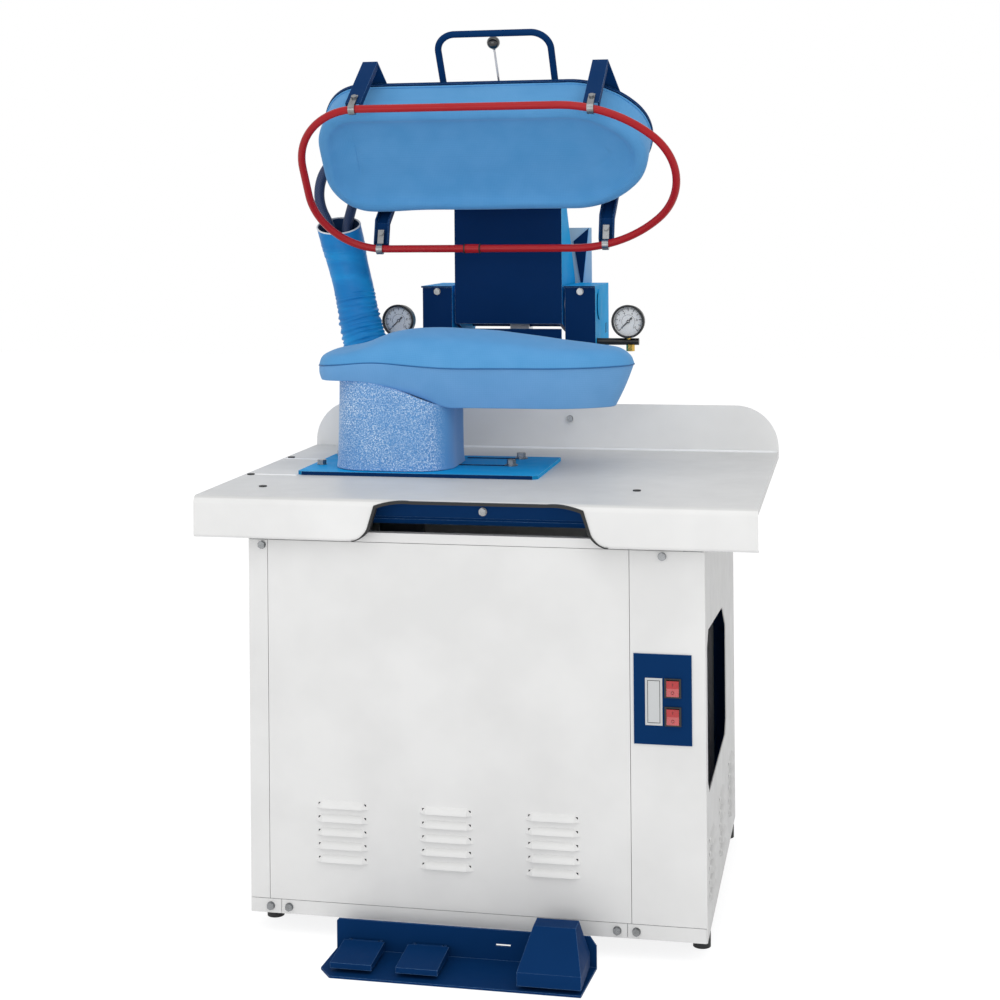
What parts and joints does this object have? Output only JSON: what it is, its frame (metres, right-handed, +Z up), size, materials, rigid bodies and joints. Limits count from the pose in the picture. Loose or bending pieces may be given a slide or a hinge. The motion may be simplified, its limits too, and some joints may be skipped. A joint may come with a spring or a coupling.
{
  "type": "pneumatic garment press",
  "caption": "Standing steam press: padded head on a goose-neck arm closes by air cylinder over a padded cantilever buck on a cabinet with pedals.",
  "frame": {"origin": "on the floor, in the middle of the whole machine's width and depth", "axes": "+X to the right seen from the front, +Y to the rear, +Z up"},
  "size_m": [1.085, 1.189, 1.7929],
  "materials": {
    "cabinet_white": "satin powder coat",
    "table_grey": "satin powder coat",
    "navy_paint": "fine textured powder coat",
    "sky_paint": "satin powder coat",
    "zinc_steel": "zinc plated",
    "ground_steel": "ground",
    "black_rubber": "moulded",
    "black_plastic": "moulded",
    "red_plastic": "moulded, translucent",
    "legend_white": "engraving laminate",
    "dial_white": "printed",
    "gauge_glass": "clear",
    "needle_black": "matt",
    "brass": "machined",
    "pad_fabric": "woven press cover",
    "cover_fabric": "mottled press cover",
    "sleeve_fabric": "coated hose sleeve",
    "hose_rubber": "braided cover",
    "red_paint": "gloss paint",
    "cast_aluminium": "cast",
    "barrel_aluminium": "anodised",
    "boiler_black": "gloss jacket",
    "pump_grey": "machine enamel"
  },
  "bodies": {
    "cabinet": {"base_frame": "navy_paint", "levelling_feet": "black_rubber", "left_side_panel": "cabinet_white", "right_side_panel": "cabinet_white", "rear_panel": "cabinet_white", "front_door": "cabinet_white", "control_column": "cabinet_white", "front_rails": "cabinet_white", "frame_bolts": "zinc_steel", "control_plate": "navy_paint", "legend_plate": "legend_white", "switch_housings": "black_plastic", "table_top": "table_grey", "rubber_trim": "black_rubber", "backguard": "table_grey", "buck_base_plate": "navy_paint", "buck_body": "pad_fabric", "buck_pad": "pad_fabric", "pedestal_cover": "cover_fabric", "left_upright": "navy_paint", "right_upright": "navy_paint", "pivot_bearings": "navy_paint", "tower_plates": "navy_paint", "tower_rear_guard": "sky_paint", "cylinder_barrel": "barrel_aluminium", "gauge_cases": "black_plastic", "gauge_dials": "dial_white", "gauge_lenses": "gauge_glass", "gauge_pipes": "black_plastic", "brass_fittings": "brass", "hose_bulkhead": "zinc_steel", "hose_sleeve": "sleeve_fabric", "steam_hose": "hose_rubber", "suction_hose": "hose_rubber", "boiler": "boiler_black", "vacuum_fan": "pump_grey", "condensate_tank": "ground_steel", "feed_pump": "pump_grey", "service_fittings": "brass", "pedal_board": "navy_paint"},
    "head": {"head_arm": "navy_paint", "pivot_shaft": "ground_steel", "head_back_plate": "navy_paint", "head_shell": "cast_aluminium", "head_pad": "pad_fabric", "handle": "navy_paint", "head_fittings": "ground_steel"},
    "safety_bar": {"safety_tube": "red_paint", "tube_clips": "zinc_steel", "bar_brackets": "navy_paint", "bar_rubbers": "black_rubber"},
    "steam_lever": {"steam_lever": "ground_steel"},
    "piston_rod": {"piston_rod": "ground_steel"},
    "rocker_upper": {"rocker_upper": "red_plastic"},
    "rocker_lower": {"rocker_lower": "red_plastic"},
    "needle_left": {"gauge_needle_left": "needle_black"},
    "needle_right": {"gauge_needle_right": "needle_black"},
    "pedal_left": {"pedal_left": "navy_paint"},
    "pedal_middle": {"pedal_middle": "navy_paint"},
    "pedal_main": {"pedal_main": "navy_paint"}
  },
  "joints": [
    {"name": "head_swing", "type": "hinge", "parent": "cabinet", "child": "head", "pos_m": [-0.0815, 0.4335, 1.18], "axis": [1, 0, 0], "range_deg": [0, 54.5], "stiffness_Nm_per_rad": 150, "springref_deg": -114.59, "deforming": ["steam_hose", "suction_hose"]},
    {"name": "rod_slide", "type": "slide", "parent": "cabinet", "child": "piston_rod", "axis": [0, 0, 1], "range_m": [0, 0.10185]},
    {"name": "bar_slide", "type": "slide", "parent": "head", "child": "safety_bar", "axis": [0, 0.8141, 0.5807], "range_m": [0, 0.01], "stiffness_N_per_m": 800, "springref_m": -0.02},
    {"name": "lever_swing", "type": "hinge", "parent": "head", "child": "steam_lever", "pos_m": [-0.058, 0.1775, 1.67666], "axis": [0, 0.8141, 0.5807], "range_deg": [-35, 35]},
    {"name": "upper_switch", "type": "hinge", "parent": "cabinet", "child": "rocker_upper", "pos_m": [0.3815, -0.4195, 0.51], "axis": [1, 0, 0], "range_deg": [-6, 6]},
    {"name": "lower_switch", "type": "hinge", "parent": "cabinet", "child": "rocker_lower", "pos_m": [0.3815, -0.4195, 0.4575], "axis": [1, 0, 0], "range_deg": [-6, 6]},
    {"name": "left_gauge_needle", "type": "hinge", "parent": "cabinet", "child": "needle_left", "pos_m": [-0.351, 0.3895, 1.142], "axis": [0, 1, 0], "range_deg": [0, 270], "stiffness_Nm_per_rad": 0.004},
    {"name": "right_gauge_needle", "type": "hinge", "parent": "cabinet", "child": "needle_right", "pos_m": [0.198, 0.3895, 1.142], "axis": [0, 1, 0], "range_deg": [0, 270], "stiffness_Nm_per_rad": 0.004},
    {"name": "left_pedal_press", "type": "hinge", "parent": "cabinet", "child": "pedal_left", "pos_m": [-0.195, -0.4785, 0.021], "axis": [1, 0, 0], "range_deg": [0, 3.5], "stiffness_Nm_per_rad": 12, "springref_deg": -6.88},
    {"name": "middle_pedal_press", "type": "hinge", "parent": "cabinet", "child": "pedal_middle", "pos_m": [-0.071, -0.4785, 0.021], "axis": [1, 0, 0], "range_deg": [0, 3.5], "stiffness_Nm_per_rad": 12, "springref_deg": -6.88},
    {"name": "main_pedal_press", "type": "hinge", "parent": "cabinet", "child": "pedal_main", "pos_m": [0.175, -0.4785, 0.021], "axis": [1, 0, 0], "range_deg": [0, 3.5], "stiffness_Nm_per_rad": 30, "springref_deg": -6.88}
  ],
  "couplings": [
    {"joint": "rod_slide", "follows": "head_swing", "m_per_rad": 0.10686}
  ]
}
